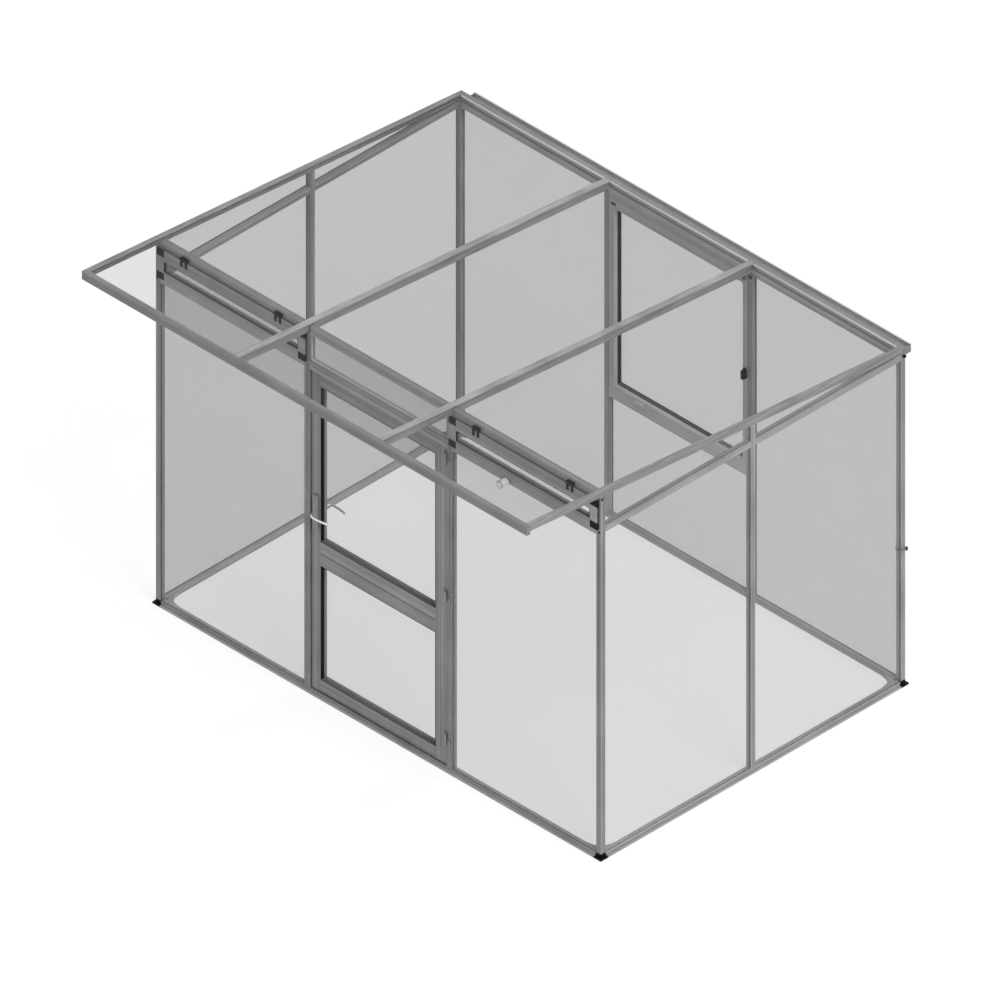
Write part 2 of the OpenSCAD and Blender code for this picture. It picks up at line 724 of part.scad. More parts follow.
// Lift-off hinges: plate, barrel and pin on the post, and on the door a bored barrel, a web and a plate
module door_hinge_pins() {
    steel() at_front() for (z = hinge_zs) translate([hinge_x, hinge_y, z - leaf_h]) {
        translate([0, hinge_out - leaf_t - play, 0]) cube([leaf_w, leaf_t, leaf_h - fit]);
        cylinder(d = barrel_d, h = leaf_h - fit);
        cylinder(d = pin_d, h = 2 * leaf_h - barrel_d);
    }
}
module door_hinge_knuckles() {
    steel() at_front() for (z = hinge_zs) translate([hinge_x, hinge_y, z]) difference() {
        union() {
            translate([-leaf_w, hinge_out + door_in - leaf_t - play, 0])
                cube([leaf_w - barrel_d / 2 + leaf_t, leaf_t, leaf_h]);
            translate([-barrel_d / 2, 0, 0]) cube([leaf_t, hinge_out + door_in - play, leaf_h]);
            cylinder(d = barrel_d, h = leaf_h);
        }
        translate([0, 0, -1]) cylinder(d = pin_d + 2 * run_fit, h = leaf_h - barrel_d / 2 + 1);
    }
}
// Handle plate with rounded corners, bored for the spindle
module handle_plate() {
    r = plate_w / 4;
    rotate([90, 0, 0]) linear_extrude(plate_t) difference() {
        union() {
            translate([-plate_w / 2, -plate_h / 2 + r]) square([plate_w, plate_h - 2 * r]);
            translate([-plate_w / 2 + r, -plate_h / 2]) square([plate_w - 2 * r, plate_h]);
            for (x = [-1, 1], z = [-1, 1])
                translate([x * (plate_w / 2 - r), z * (plate_h / 2 - r)]) circle(r);
        }
        circle(d = spindle_d + 2 * run_fit);
    }
}
module door_handle_plates() {
    steel() at_front() translate([handle_x, door_y, handle_z]) {
        translate([0, -play, 0]) handle_plate();
        translate([0, door_d + plate_t + play, 0]) handle_plate();
    }
}
// One lever: a neck, a round bend and a slightly curved grip, drawn reaching towards -y from its plate
module lever() {
    neck = lever_out - bend_r;
    reach = (lever_len - bend_r) / sin(grip_sweep);
    rotate([90, 0, 0]) translate([0, 0, fit]) cylinder(d = grip_d, h = neck - fit);
    translate([bend_r, -neck, 0]) rotate(180) rotate_extrude(angle = 90)
        translate([bend_r, 0]) circle(d = grip_d);
    translate([bend_r, reach - lever_out, 0]) rotate(-90) rotate_extrude(angle = grip_sweep)
        translate([reach, 0]) circle(d = grip_d);
    translate([lever_len, reach - lever_out - reach * cos(grip_sweep), 0]) sphere(d = grip_d + tip_more);
}
module lever_handle() {
    steel() at_front() translate([handle_x, door_y, handle_z]) {
        translate([0, -plate_t - play, 0]) lever();
        translate([0, door_d + plate_t + play, 0]) mirror([0, 1, 0]) lever();
        translate([0, -plate_t - play - 2 * fit, 0]) rotate([-90, 0, 0])
            cylinder(d = spindle_d, h = door_d + 2 * (plate_t + play + 2 * fit));
    }
}

front_sill();
back_sill();
left_sill();
right_sill();
corner_feet();
front_left_post();
front_right_post();
back_left_post();
back_right_post();
door_left_post();
door_right_post();
back_mid_posts();
side_mid_posts();
front_transom();
front_top_rail();
side_rails();
back_top_rail();
back_window_rail();
edge_rafters();
mid_rafters();
roof_front_bar();
roof_back_bar();
gutter();
roof_glass();
front_glass();
left_glass();
right_glass();
back_glass();
glazing_gaskets();
vent_frames();
vent_corners();
vent_hinges();
vent_glass();
window_frame();
window_glass();
window_knob();
door_lock_stile();
door_hinge_stile();
door_rails();
door_glass();
door_gaskets();
door_hinge_pins();
door_hinge_knuckles();
door_handle_plates();
lever_handle();
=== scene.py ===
# Glass greenhouse: finishes, small fittings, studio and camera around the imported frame.
import math

import bmesh
import bpy
from mathutils import Matrix, Vector


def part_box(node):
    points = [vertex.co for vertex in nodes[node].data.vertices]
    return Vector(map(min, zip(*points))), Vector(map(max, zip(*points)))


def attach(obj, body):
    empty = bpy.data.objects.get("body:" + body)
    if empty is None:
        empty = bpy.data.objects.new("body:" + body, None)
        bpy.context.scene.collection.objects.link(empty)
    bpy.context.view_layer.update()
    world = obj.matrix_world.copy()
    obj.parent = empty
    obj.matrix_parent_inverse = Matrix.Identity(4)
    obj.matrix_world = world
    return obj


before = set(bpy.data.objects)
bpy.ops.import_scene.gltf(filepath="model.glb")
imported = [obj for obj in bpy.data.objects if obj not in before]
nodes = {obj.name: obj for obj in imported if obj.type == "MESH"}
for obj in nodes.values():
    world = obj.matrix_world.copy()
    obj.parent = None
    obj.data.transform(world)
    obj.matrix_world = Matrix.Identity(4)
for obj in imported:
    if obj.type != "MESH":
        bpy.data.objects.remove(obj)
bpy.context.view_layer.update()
mm = 0.001
print("frame loaded:", len(nodes), "nodes")


# Tools for materials
def toLinear(hexColor):
    shares = [int(hexColor[i:i + 2], 16) / 255 for i in (1, 3, 5)]
    linear = [s / 12.92 if s <= 0.04045 else ((s + 0.055) / 1.055) ** 2.4 for s in shares]
    return (*linear, 1.0)


def perMetre(sizeMm):
    return 1 / (sizeMm * mm)    # noise scale that gives patches of about this size


def addNode(tree, kind, settings, links):
    # settings and links go by socket name or number; a name that is no socket is a property
    node = tree.nodes.new(kind)
    for name, value in settings.items():
        if isinstance(name, int) or name in node.inputs:
            node.inputs[name].default_value = value
        else:
            setattr(node, name, value)
    for name, source in links.items():
        tree.links.new(source, node.inputs[name])
    return node


def newMaterial(name):
    material = bpy.data.materials.new(name)
    material.use_nodes = True
    material.node_tree.nodes.clear()
    return material, material.node_tree


def closeMaterial(material, tree, shader):
    addNode(tree, "ShaderNodeOutputMaterial", {}, {"Surface": shader.outputs[0]})
    return material


# Anodised aluminium, extruded and left matt: faint die lines run along a bar, the oxide skin
# spreads highlights wide, and the sharp corners of the profile are rubbed to one even grey.
aluminium = {
    "wall": ("#606061", "#949495"),
    "back": ("#6D6D6E", "#A1A1A2"),     # painted light: paler at the back and under the roof, where these bars lie in shade behind the glass
    "pale": ("#767677", "#A9A9AA"),     # painted light: paler on the sills, middle roof bars and front rails, which lie in shade
    "window": ("#8A8A8B", "#BDBDBE"),   # bars around the back window, palest: painted light on bars in deep shade under the roof
    "roof": ("#5B5B5C", "#8B8B8C"),
    "gutter": ("#B0B1B2", "#C2C3C4"),   # pale: painted light in the gutter's trough, which lies in shade
    # the plain tone on the gutter's ends, which face the key lamp, so that the painted light stops there
    "plainEndTone": "#767677",
    "paintedLightBelowPanes": "#BEBEBF",             # painted light on the faces of the roof's back bar below the panes, which lie in deep shade
    "edge": "#909091",
    "metallic": 0.35,
    "roughness": (0.42, 0.55),
    "dieLineMm": 16,        # real die lines are under 1 mm; drawn coarser so that they show
    "dieRunMm": 3000,
    "dieWeight": 2.4,       # how much more the lines count than the clouds
    "toneFrom": (1.1, 2.3),  # sum of lines and clouds at the first and at the second tone
    "turnedFrom": 0.7,      # a face looks along an axis from this share of its normal on
    "cloudMm": 260,
    "edgeMm": 1.2,
    "reliefMm": 0.05,
}


def anodisedAluminium(name, tone, along, hole=None, turned=None):
    s = aluminium
    material, tree = newMaterial(name)
    across, run = perMetre(s["dieLineMm"]), perMetre(s["dieRunMm"])
    stretch = tuple(run if axis in along else across for axis in "XYZ")
    place = addNode(tree, "ShaderNodeTexCoord", {}, {})
    start = place.outputs["Object"]
    if hole:
        # the bars of a frame: the lines run round its hole, each at one distance from the edge
        spot = addNode(tree, "ShaderNodeSeparateXYZ", {}, {0: start})
        gaps = []
        for axis in (0, 2):
            middle = (hole[0][axis] + hole[1][axis]) / 2
            half = (hole[1][axis] - hole[0][axis]) / 2
            off = addNode(tree, "ShaderNodeMath", {"operation": "SUBTRACT", 1: middle},
                          {0: spot.outputs[axis]})
            far = addNode(tree, "ShaderNodeMath", {"operation": "ABSOLUTE"}, {0: off.outputs[0]})
            gap = addNode(tree, "ShaderNodeMath", {"operation": "SUBTRACT", 1: half}, {0: far.outputs[0]})
            gaps.append(gap.outputs[0])
        widest = addNode(tree, "ShaderNodeMath", {"operation": "MAXIMUM"}, {0: gaps[0], 1: gaps[1]})
        ring = addNode(tree, "ShaderNodeCombineXYZ", {}, {"X": widest.outputs[0], "Y": spot.outputs["Y"]})
        start = ring.outputs[0]
    lines = addNode(tree, "ShaderNodeMapping", {"Scale": stretch}, {"Vector": start})
    die = addNode(tree, "ShaderNodeTexNoise", {"Scale": 1.0, "Detail": 3.0, "Roughness": 0.6},
                  {"Vector": lines.outputs[0]})
    cloud = addNode(tree, "ShaderNodeTexNoise", {"Scale": perMetre(s["cloudMm"]), "Detail": 2.0},
                    {"Vector": place.outputs["Object"]})
    both = addNode(tree, "ShaderNodeMath", {"operation": "MULTIPLY_ADD", 1: s["dieWeight"]},
                   {0: die.outputs[0], 2: cloud.outputs[0]})
    share = addNode(tree, "ShaderNodeMapRange",
                    {"From Min": s["toneFrom"][0], "From Max": s["toneFrom"][1]},
                    {"Value": both.outputs[0]})
    color = addNode(tree, "ShaderNodeMix",
                    {"data_type": "RGBA", 6: toLinear(s[tone][0]), 7: toLinear(s[tone][1])},
                    {0: share.outputs[0]})
    flat = addNode(tree, "ShaderNodeNewGeometry", {}, {})
    if turned:
        # faces that look along one axis get a tone of their own: the plain tone on the lamp-lit ends of the
        # gutter, and painted light on the shaded faces of the roof's back bar
        axis, faceTone = turned
        looks = addNode(tree, "ShaderNodeSeparateXYZ", {}, {0: flat.outputs["True Normal"]})
        size = addNode(tree, "ShaderNodeMath", {"operation": "ABSOLUTE"}, {0: looks.outputs[axis]})
        apart = addNode(tree, "ShaderNodeMath", {"operation": "GREATER_THAN", 1: s["turnedFrom"]},
                        {0: size.outputs[0]})
        color = addNode(tree, "ShaderNodeMix", {"data_type": "RGBA", 7: toLinear(s[faceTone])},
                        {0: apart.outputs[0], 6: color.outputs[2]})
    soft = addNode(tree, "ShaderNodeBevel", {"samples": 4, "Radius": s["edgeMm"] * mm}, {})
    facing = addNode(tree, "ShaderNodeVectorMath", {"operation": "DOT_PRODUCT"},
                     {0: soft.outputs[0], 1: flat.outputs["True Normal"]})
    rubbed = addNode(tree, "ShaderNodeMapRange", {"From Min": 0.98, "From Max": 0.8, "To Max": 0.6},
                     {"Value": facing.outputs["Value"]})
    worn = addNode(tree, "ShaderNodeMix", {"data_type": "RGBA", 7: toLinear(s["edge"])},
                   {0: rubbed.outputs[0], 6: color.outputs[2]})
    least, most = s["roughness"]
    dull = addNode(tree, "ShaderNodeMapRange",
                   {"From Min": 0.3, "From Max": 0.7, "To Min": least, "To Max": most},
                   {"Value": die.outputs[0]})
    relief = addNode(tree, "ShaderNodeBump", {"Strength": 0.25, "Distance": s["reliefMm"] * mm},
                     {"Height": die.outputs[0], "Normal": soft.outputs[0]})
    shader = addNode(tree, "ShaderNodeBsdfPrincipled", {"Metallic": s["metallic"]},
                     {"Base Color": worn.outputs[2], "Roughness": dull.outputs[0],
                      "Normal": relief.outputs[0]})
    return closeMaterial(material, tree, shader)


# Float glass with a light grey tint: nearly flat and clear, with the slow roller waves of
# toughened sheet in its reflections and a thin film of dust that mutes them in patches.
glass = {
    # the roof's tint is darker: painted shade that holds down the light the key lamp lays on the roof panes
    "tint": {"wall": ("#6F7071", "#787879"), "roof": ("#323334", "#38393A")},
    "alpha": {"wall": 0.2254, "roof": 0.1456},  # share that one face keeps back; a pane has two
    "ior": 1.5,
    "shine": {"wall": 0.5, "roof": 0.3},
    "roughness": (0.02, 0.07),
    "waveMm": 320,
    "waveHeightMm": 0.25,
    "dustMm": 140,
}


def greyFloatGlass(name, place):
    s = glass
    material, tree = newMaterial(name)
    spot = addNode(tree, "ShaderNodeTexCoord", {}, {})
    dust = addNode(tree, "ShaderNodeTexNoise", {"Scale": perMetre(s["dustMm"]), "Detail": 5.0},
                   {"Vector": spot.outputs["Object"]})
    wave = addNode(tree, "ShaderNodeTexNoise", {"Scale": perMetre(s["waveMm"]), "Detail": 0.0},
                   {"Vector": spot.outputs["Object"]})
    first, second = s["tint"][place]
    tone = addNode(tree, "ShaderNodeMix",
                   {"data_type": "RGBA", 6: toLinear(first), 7: toLinear(second)},
                   {0: dust.outputs[0]})
    least, most = s["roughness"]
    dull = addNode(tree, "ShaderNodeMapRange",
                   {"From Min": 0.35, "From Max": 0.65, "To Min": least, "To Max": most},
                   {"Value": dust.outputs[0]})
    relief = addNode(tree, "ShaderNodeBump", {"Strength": 0.3, "Distance": s["waveHeightMm"] * mm},
                     {"Height": wave.outputs[0]})
    shader = addNode(tree, "ShaderNodeBsdfPrincipled",
                     {"IOR": s["ior"], "Alpha": s["alpha"][place], "Specular IOR Level": s["shine"][place]},
                     {"Base Color": tone.outputs[2], "Roughness": dull.outputs[0],
                      "Normal": relief.outputs[0]})
    return closeMaterial(material, tree, shader)


# EPDM rubber, extruded: deep black with a dull skin, a grey bloom in patches, and a paler grey
# where it looks up.
rubber = {
    "black": "#070708",
    "bloom": "#171718",
    # paler grey on faces that look up
    "dust": "#565657",
    "body": "#B8B8B9",      # pale grey behind the black lip of the linings in the front wall: painted light in the shaded recess there
    "bodyY": (-0.5965, 0.2),        # from the lip inwards; middle and half of the stretch in metres
    "doorX": (0.0, 0.47),           # over the door
    "ventZ": (1.9625, 0.036),       # in the vents' holes
    "roughness": (0.62, 0.85),
    "shine": 0.15,          # the bloom takes most of the sheen off
    "bloomMm": 35,
    "skinMm": 2.5,          # the real skin is finer; drawn coarser so that it shows
    "skinHeightMm": 0.08,
}


def blackGlazingRubber(name, paintedLightBody):
    s = rubber
    material, tree = newMaterial(name)
    place = addNode(tree, "ShaderNodeTexCoord", {}, {})
    bloom = addNode(tree, "ShaderNodeTexNoise", {"Scale": perMetre(s["bloomMm"]), "Detail": 4.0},
                    {"Vector": place.outputs["Object"]})
    skin = addNode(tree, "ShaderNodeTexNoise", {"Scale": perMetre(s["skinMm"]), "Detail": 2.0},
                   {"Vector": place.outputs["Object"]})
    share = addNode(tree, "ShaderNodeMapRange", {"From Min": 0.45, "From Max": 0.8},
                    {"Value": bloom.outputs[0]})
    tone = addNode(tree, "ShaderNodeMix",
                   {"data_type": "RGBA", 6: toLinear(s["black"]), 7: toLinear(s["bloom"])},
                   {0: share.outputs[0]})
    surface = addNode(tree, "ShaderNodeNewGeometry", {}, {})
    looks = addNode(tree, "ShaderNodeSeparateXYZ", {}, {0: surface.outputs["True Normal"]})
    facingUp = addNode(tree, "ShaderNodeMapRange", {"From Min": 0.6, "From Max": 0.9},
                      {"Value": looks.outputs["Z"]})
    tone = addNode(tree, "ShaderNodeMix", {"data_type": "RGBA", 7: toLinear(s["dust"])},
                   {0: facingUp.outputs[0], 6: tone.outputs[2]})
    if paintedLightBody:
        # painted light: pale grey in the shaded stretch behind the lip, there over the door or in a vent's
        # hole
        spot = addNode(tree, "ShaderNodeSeparateXYZ", {}, {0: place.outputs["Object"]})
        within = []
        for axis, (middle, half) in (("Y", s["bodyY"]), ("X", s["doorX"]), ("Z", s["ventZ"])):
            stretch = addNode(tree, "ShaderNodeMath", {"operation": "COMPARE", 1: middle, 2: half},
                              {0: spot.outputs[axis]})
            within.append(stretch.outputs[0])
        either = addNode(tree, "ShaderNodeMath", {"operation": "MAXIMUM"}, {0: within[1], 1: within[2]})
        body = addNode(tree, "ShaderNodeMath", {"operation": "MULTIPLY"},
                       {0: within[0], 1: either.outputs[0]})
        tone = addNode(tree, "ShaderNodeMix", {"data_type": "RGBA", 7: toLinear(s["body"])},
                       {0: body.outputs[0], 6: tone.outputs[2]})
    dull = addNode(tree, "ShaderNodeMapRange", {"To Min": s["roughness"][0], "To Max": s["roughness"][1]},
                   {"Value": bloom.outputs[0]})
    relief = addNode(tree, "ShaderNodeBump", {"Strength": 0.4, "Distance": s["skinHeightMm"] * mm},
                     {"Height": skin.outputs[0]})
    shader = addNode(tree, "ShaderNodeBsdfPrincipled", {"IOR": 1.52, "Specular IOR Level": s["shine"]},
                     {"Base Color": tone.outputs[2], "Roughness": dull.outputs[0],
                      "Normal": relief.outputs[0]})
    return closeMaterial(material, tree, shader)


# ABS, moulded black in a spark-eroded tool: an even fine grain that breaks up the shine.
plastic = {
    "black": ("#060607", "#0D0D0E"),
    "roughness": (0.42, 0.58),
    "shine": 0.1,           # the grain scatters most of the sheen
    "grainMm": 1.6,         # real grain is about 0.2 mm; drawn coarser so that it shows
    "grainHeightMm": 0.12,
    "cloudMm": 30,
}


def mouldedBlackPlastic(name):
    s = plastic
    material, tree = newMaterial(name)
    place = addNode(tree, "ShaderNodeTexCoord", {}, {})
    grain = addNode(tree, "ShaderNodeTexVoronoi", {"Scale": perMetre(s["grainMm"])},
                    {"Vector": place.outputs["Object"]})
    cloud = addNode(tree, "ShaderNodeTexNoise", {"Scale": perMetre(s["cloudMm"]), "Detail": 3.0},
                    {"Vector": place.outputs["Object"]})
    tone = addNode(tree, "ShaderNodeMix",
                   {"data_type": "RGBA", 6: toLinear(s["black"][0]), 7: toLinear(s["black"][1])},
                   {0: cloud.outputs[0]})
    dull = addNode(tree, "ShaderNodeMapRange", {"To Min": s["roughness"][0], "To Max": s["roughness"][1]},
                   {"Value": cloud.outputs[0]})
    relief = addNode(tree, "ShaderNodeBump", {"Strength": 0.35, "Distance": s["grainHeightMm"] * mm},
                     {"Height": grain.outputs["Distance"]})
    shader = addNode(tree, "ShaderNodeBsdfPrincipled", {"IOR": 1.53, "Specular IOR Level": s["shine"]},
                     {"Base Color": tone.outputs[2], "Roughness": dull.outputs[0],
                      "Normal": relief.outputs[0]})
    return closeMaterial(material, tree, shader)


# Ground metal: the lever's steel is polished bright, with fine lines round the bar and a few dull
# finger marks; the hinges' and plates' aluminium is greyer and spreads its highlights.
groundFinish = {
    "polished": ("#D8D9DA", "#E9EAEB"),
    "satin": ("#777879", "#848586"),
    "roughness": {"polished": (0.14, 0.26), "satin": (0.30, 0.42)},
    "metallic": {"polished": 0.85, "satin": 0.4},
    "lineMm": 1.5,          # grinding lines are finer; drawn coarser so that they show
    "lineRunMm": 30,
    "lineHeightMm": 0.02,
    "markMm": 25,
}


def groundMetal(name, finish):
    s = groundFinish
    material, tree = newMaterial(name)
    across, run = perMetre(s["lineMm"]), perMetre(s["lineRunMm"])
    place = addNode(tree, "ShaderNodeTexCoord", {}, {})
    lines = addNode(tree, "ShaderNodeMapping", {"Scale": (across, run, run)},
                    {"Vector": place.outputs["Object"]})
    ground = addNode(tree, "ShaderNodeTexNoise", {"Scale": 1.0, "Detail": 3.0},
                     {"Vector": lines.outputs[0]})
    marks = addNode(tree, "ShaderNodeTexNoise", {"Scale": perMetre(s["markMm"]), "Detail": 3.0},
                    {"Vector": place.outputs["Object"]})
    tone = addNode(tree, "ShaderNodeMix",
                   {"data_type": "RGBA", 6: toLinear(s[finish][0]), 7: toLinear(s[finish][1])},
                   {0: ground.outputs[0]})
    least, most = s["roughness"][finish]
    dull = addNode(tree, "ShaderNodeMapRange",
                   {"From Min": 0.35, "From Max": 0.7, "To Min": least, "To Max": most},
                   {"Value": marks.outputs[0]})
    relief = addNode(tree, "ShaderNodeBump", {"Strength": 0.2, "Distance": s["lineHeightMm"] * mm},
                     {"Height": ground.outputs[0]})
    shader = addNode(tree, "ShaderNodeBsdfPrincipled", {"Metallic": s["metallic"][finish]},
                     {"Base Color": tone.outputs[2], "Roughness": dull.outputs[0],
                      "Normal": relief.outputs[0]})
    return closeMaterial(material, tree, shader)


# PVC, pale grey: a soft satin skin, chalky in streaks where rain has dried on it.
pvc = {
    "strip": ("#B6B6B4", "#A7A7A5"),
    "moulded": ("#D8D8D6", "#C6C6C3"),
    "roughness": (0.40, 0.62),
    "streakMm": 14,
    "streakRunMm": 220,
    "skinHeightMm": 0.05,
}


def palePvc(name, kind):
    s = pvc
    material, tree = newMaterial(name)
    across, run = perMetre(s["streakMm"]), perMetre(s["streakRunMm"])
    spot = addNode(tree, "ShaderNodeTexCoord", {}, {})
    along = addNode(tree, "ShaderNodeMapping", {"Scale": (run, across, across)},
                    {"Vector": spot.outputs["Object"]})
    streak = addNode(tree, "ShaderNodeTexNoise", {"Scale": 1.0, "Detail": 4.0},
                     {"Vector": along.outputs[0]})
    tone = addNode(tree, "ShaderNodeMix",
                   {"data_type": "RGBA", 6: toLinear(s[kind][0]), 7: toLinear(s[kind][1])},
                   {0: streak.outputs[0]})
    dull = addNode(tree, "ShaderNodeMapRange", {"To Min": s["roughness"][0], "To Max": s["roughness"][1]},
                   {"Value": streak.outputs[0]})
    relief = addNode(tree, "ShaderNodeBump", {"Strength": 0.3, "Distance": s["skinHeightMm"] * mm},
                     {"Height": streak.outputs[0]})
    shader = addNode(tree, "ShaderNodeBsdfPrincipled", {"IOR": 1.54},
                     {"Base Color": tone.outputs[2], "Roughness": dull.outputs[0],
                      "Normal": relief.outputs[0]})
    return closeMaterial(material, tree, shader)


# Which finish each piece has, and along which way its bars were extruded
finishes = {
    "barX": anodisedAluminium("anodised_aluminium_bar_x", "wall", "X"),
    "barY": anodisedAluminium("anodised_aluminium_bar_y", "wall", "Y"),
    "barZ": anodisedAluminium("anodised_aluminium_bar_z", "wall", "Z"),
    "backX": anodisedAluminium("anodised_aluminium_back_x", "back", "X"),
    "backY": anodisedAluminium("anodised_aluminium_back_y", "back", "Y"),
    "backZ": anodisedAluminium("anodised_aluminium_back_z", "back", "Z"),
    # sills, middle roof bars and front rails: a paler tone, painted light on bars in shade
    "paleX": anodisedAluminium("aluminium_painted_light_x", "pale", "X"),
    "paleY": anodisedAluminium("aluminium_painted_light_y", "pale", "Y"),
    # bars around the back window: the palest tone, painted light on bars in deep shade
    "windowX": anodisedAluminium("window_aluminium_painted_light_x", "window", "X"),
    "windowRing": anodisedAluminium("window_aluminium_painted_light_frame", "window", "Z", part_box("window_glass")),
    "roofX": anodisedAluminium("anodised_aluminium_roof_x", "roof", "X"),
    # the roof's back bar: its faces along Y painted pale, as light in their deep shade
    "roofBackX": anodisedAluminium("anodised_aluminium_roof_back_x", "roof", "X", turned=("Y", "paintedLightBelowPanes")),
    # the gutter: a pale tone, painted light in its shaded trough
    "gutterX": anodisedAluminium("gutter_aluminium_painted_light_x", "gutter", "X", turned=("X", "plainEndTone")),
    "wallGlass": greyFloatGlass("grey_float_glass_wall", "wall"),
    "roofGlass": greyFloatGlass("grey_float_glass_roof", "roof"),
    "pvcStrip": palePvc("pale_pvc_strip", "strip"),
    "pvc": palePvc("pale_moulded_pvc", "moulded"),
    "rubber": blackGlazingRubber("black_epdm_rubber", False),
    # black rubber with painted light: pale grey in the shaded recesses behind its lip
    "rubberWithPaintedLight": blackGlazingRubber("black_epdm_rubber_with_painted_light", True),
    "plastic": mouldedBlackPlastic("black_moulded_abs"),
    "satin": groundMetal("satin_ground_aluminium", "satin"),
    "polished": groundMetal("polished_steel_bar", "polished"),
}
finishOf = {
    "barX": ["door_rails"],
    "barY": ["edge_rafters"],
    "barZ": ["front_left_post", "front_right_post", "door_left_post", "door_right_post", "door_lock_stile",
             "door_hinge_stile"],
    "backX": ["vent_frames"],
    "backY": ["side_rails"],
    "backZ": ["back_left_post", "back_right_post", "back_mid_posts", "side_mid_posts"],
    "paleX": ["front_sill", "back_sill", "front_transom", "front_top_rail"],
    "paleY": ["left_sill", "right_sill", "mid_rafters"],
    "windowX": ["back_top_rail", "back_window_rail"],
    "windowRing": ["window_frame"],
    "roofX": ["roof_front_bar"],
    "roofBackX": ["roof_back_bar"],
    "gutterX": ["gutter"],
    "roofGlass": ["roof_glass"],
    "wallGlass": ["front_glass", "left_glass", "right_glass", "back_glass", "vent_glass", "window_glass",
                  "door_glass"],
    "rubber": ["door_gaskets"],
    "rubberWithPaintedLight": ["glazing_gaskets"],
    "plastic": ["corner_feet", "vent_corners", "vent_hinges", "window_knob"],
    "satin": ["door_hinge_pins", "door_hinge_knuckles", "door_handle_plates"],
    "polished": ["lever_handle"],
}
for finish, names in finishOf.items():
    for name in names:
        nodes[name].data.materials.clear()
        nodes[name].data.materials.append(finishes[finish])
        nodes[name].visible_shadow = not finish.endswith("Glass")    # panes dim nothing on the ground
print("finishes set on", sum(len(names) for names in finishOf.values()), "nodes")


# Small fittings, each one a mesh set on the piece that carries it. Values named Mm are in mm, and so
# are the rings and sections; places named At or up are in metres.
sinkMm = 0.3         # how far a fitting's foot goes into its carrier
sharpFromDeg = 35    # edges that turn more than this stay sharp


def outward(point, axis):
    # the place at a point in metres whose own Z looks along the axis
    return Matrix.Translation(point) @ Vector(axis).to_track_quat("Z", "Y").to_matrix().to_4x4()


def reachAt(angle, radius, corners):
    # distance to the edge of a circle, or of an even figure with this many corners
    if corners == 0:
        return radius
    wedge = 2 * math.pi / corners
    return radius * math.cos(wedge / 2) / math.cos(angle % wedge - wedge / 2)


def addTurned(mesh, rings, place, steps=24, closed=False):
    # rings run from the foot to the crown: radius mm, height mm, corners; a closed row makes an eye
    angles = [2 * math.pi * i / steps for i in range(steps)]
    loops = []
    for radius, height, corners in rings:
        reaches = [reachAt(angle, radius, corners) for angle in angles]
        points = [Vector((r * math.cos(a), r * math.sin(a), height)) * mm for r, a in zip(reaches, angles)]
        loops.append([mesh.verts.new(place @ point) for point in points])
    pairs = list(zip(loops, loops[1:]))
    if closed:
        pairs.append((loops[-1], loops[0]))
    else:
        mesh.faces.new(loops[0][::-1])
        mesh.faces.new(loops[-1])
    for low, high in pairs:
        for i in range(steps):
            mesh.faces.new((low[i - 1], low[i], high[i], high[i - 1]))


def addPrism(mesh, outline, low, high, place, rounding):
    # an outline in mm in the place's own X and Y, raised from low to high, with rounded edges
    foot = [mesh.verts.new(place @ (Vector((x, y, low)) * mm)) for x, y in outline]
    crown = [mesh.verts.new(place @ (Vector((x, y, high)) * mm)) for x, y in outline]
    faces = [mesh.faces.new(foot[::-1]), mesh.faces.new(crown)]
    for i in range(len(outline)):
        faces.append(mesh.faces.new((foot[i - 1], foot[i], crown[i], crown[i - 1])))
    edges = list({edge for face in faces for edge in face.edges})
    bmesh.ops.bevel(mesh, geom=edges, offset=rounding * mm, segments=2, profile=0.5, affect="EDGES")


def plate(wide, high):
    return [(-wide / 2, -high / 2), (wide / 2, -high / 2), (wide / 2, high / 2), (-wide / 2, high / 2)]


def setPiece(name, mesh, finish, body):
    bmesh.ops.recalc_face_normals(mesh, faces=mesh.faces)
    data = bpy.data.meshes.new(name)
    mesh.to_mesh(data)
    mesh.free()
    data.materials.append(finishes[finish])
    data.shade_smooth()
    data.set_sharp_from_angle(angle=math.radians(sharpFromDeg))
    piece = bpy.data.objects.new(name, data)
    bpy.context.collection.objects.link(piece)
    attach(piece, body)


# Screws: pan heads with a hex socket, low heads that clear the swinging hinge plates, and black caps
screws = {
    "pan": [(4.5, -sinkMm, 0), (4.5, 1.3, 0), (4.2, 2.1, 0), (3.4, 2.7, 0), (2.5, 2.8, 0), (2.0, 2.8, 6),
            (2.0, 1.2, 6)],
    "low": [(3.6, -sinkMm, 0), (3.6, 0.3, 0), (3.1, 0.8, 0), (2.0, 0.9, 0), (1.6, 0.9, 6), (1.6, 0.3, 6)],
    "ventAcrossMm": (499, 1434),
    "ventUpMm": (1905.5, 2035.5),
    "postAcrossMm": 464,
    "postUpMm": (1885, 2073),
    "cap": [(6, -sinkMm, 0), (6, 1.6, 0), (5.4, 2.6, 0), (3.6, 3.3, 0), (1.2, 3.6, 0)],
    "frontCapAt": (1.4638, 1.872),
    "sideCapAt": (-0.787, 2.061),
    "plateApartMm": 76,         # from the middle of a handle plate, up and down
    "hingeUpMm": (183, 1000, 1790.5),
    "hingeRowMm": (8, 24),      # from the split between a hinge's two halves
    "doorLeafAt": (0.4325, -0.7921),
    "postLeafAt": (0.4665, -0.7991),
}


